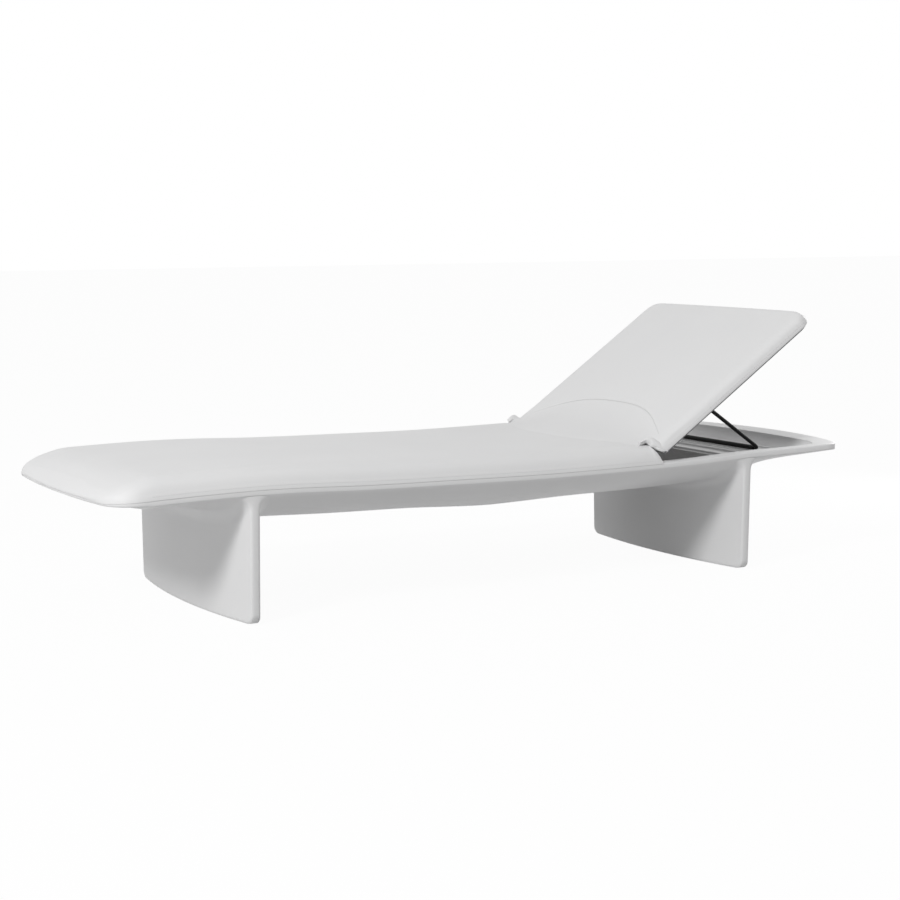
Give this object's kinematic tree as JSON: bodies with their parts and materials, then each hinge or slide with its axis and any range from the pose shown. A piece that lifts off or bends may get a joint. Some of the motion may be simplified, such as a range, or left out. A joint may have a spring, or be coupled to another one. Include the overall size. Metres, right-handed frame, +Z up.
{
  "type": "spa relaxation lounger",
  "caption": "Low white lounger with a boat-shaped moulded base on two lens-shaped legs, a full-width seat pad and a hinged backrest held up by a rod prop over a ribbed rack.",
  "frame": {"origin": "on the floor, under the middle of the lounger's length and width", "axes": "+X along the length towards the head end, +Y across, +Z up"},
  "size_m": [2.048, 0.69, 0.6498],
  "materials": {
    "white_moulding": "satin, smooth",
    "white_cover": "soft matt coated cover",
    "plywood": "sealed",
    "dark_board": "dark matt coated",
    "steel": "plain",
    "black_steel": "satin black powder coat",
    "bush_plastic": "smooth",
    "rubber": "matt",
    "grip_strip": "hook and loop"
  },
  "bodies": {
    "base": {"base_shell": "white_moulding", "front_leg": "white_moulding", "rear_leg": "white_moulding", "leg_bolts": "steel", "leg_washers": "steel", "leg_inserts": "steel", "foot_glides": "rubber", "seat_board": "plywood", "seat_battens": "plywood", "seat_board_screws": "steel", "seat_pad": "white_cover", "seat_pad_strips": "grip_strip", "seat_hinge_leaves": "steel", "seat_hinge_screws": "steel", "hinge_pins": "steel", "cover_fold": "white_cover"},
    "back": {"back_board": "dark_board", "back_pad": "white_cover", "back_pad_strips": "grip_strip", "back_buffers": "rubber", "back_hinge_leaves": "steel", "back_hinge_screws": "steel", "prop_brackets": "black_steel", "bracket_screws": "steel", "pivot_bushes": "bush_plastic"},
    "prop": {"prop_strut_left": "black_steel", "prop_strut_right": "black_steel", "prop_crossbar": "black_steel", "stub_clips": "steel"}
  },
  "joints": [
    {"name": "back_hinge", "type": "hinge", "parent": "base", "child": "back", "pos_m": [0.3925, 0, 0.296], "axis": [0, -1, 0], "range_deg": [-33.3, 20.5], "deforming": ["cover_fold"]},
    {"name": "prop_pivot", "type": "hinge", "parent": "back", "child": "prop", "pos_m": [0.60996, 0, 0.43333], "axis": [0, -1, 0], "range_deg": [-42, 68]}
  ],
  "couplings": [
    {"joint": "prop_pivot", "follows": "back_hinge", "ratio": -2.01}
  ]
}
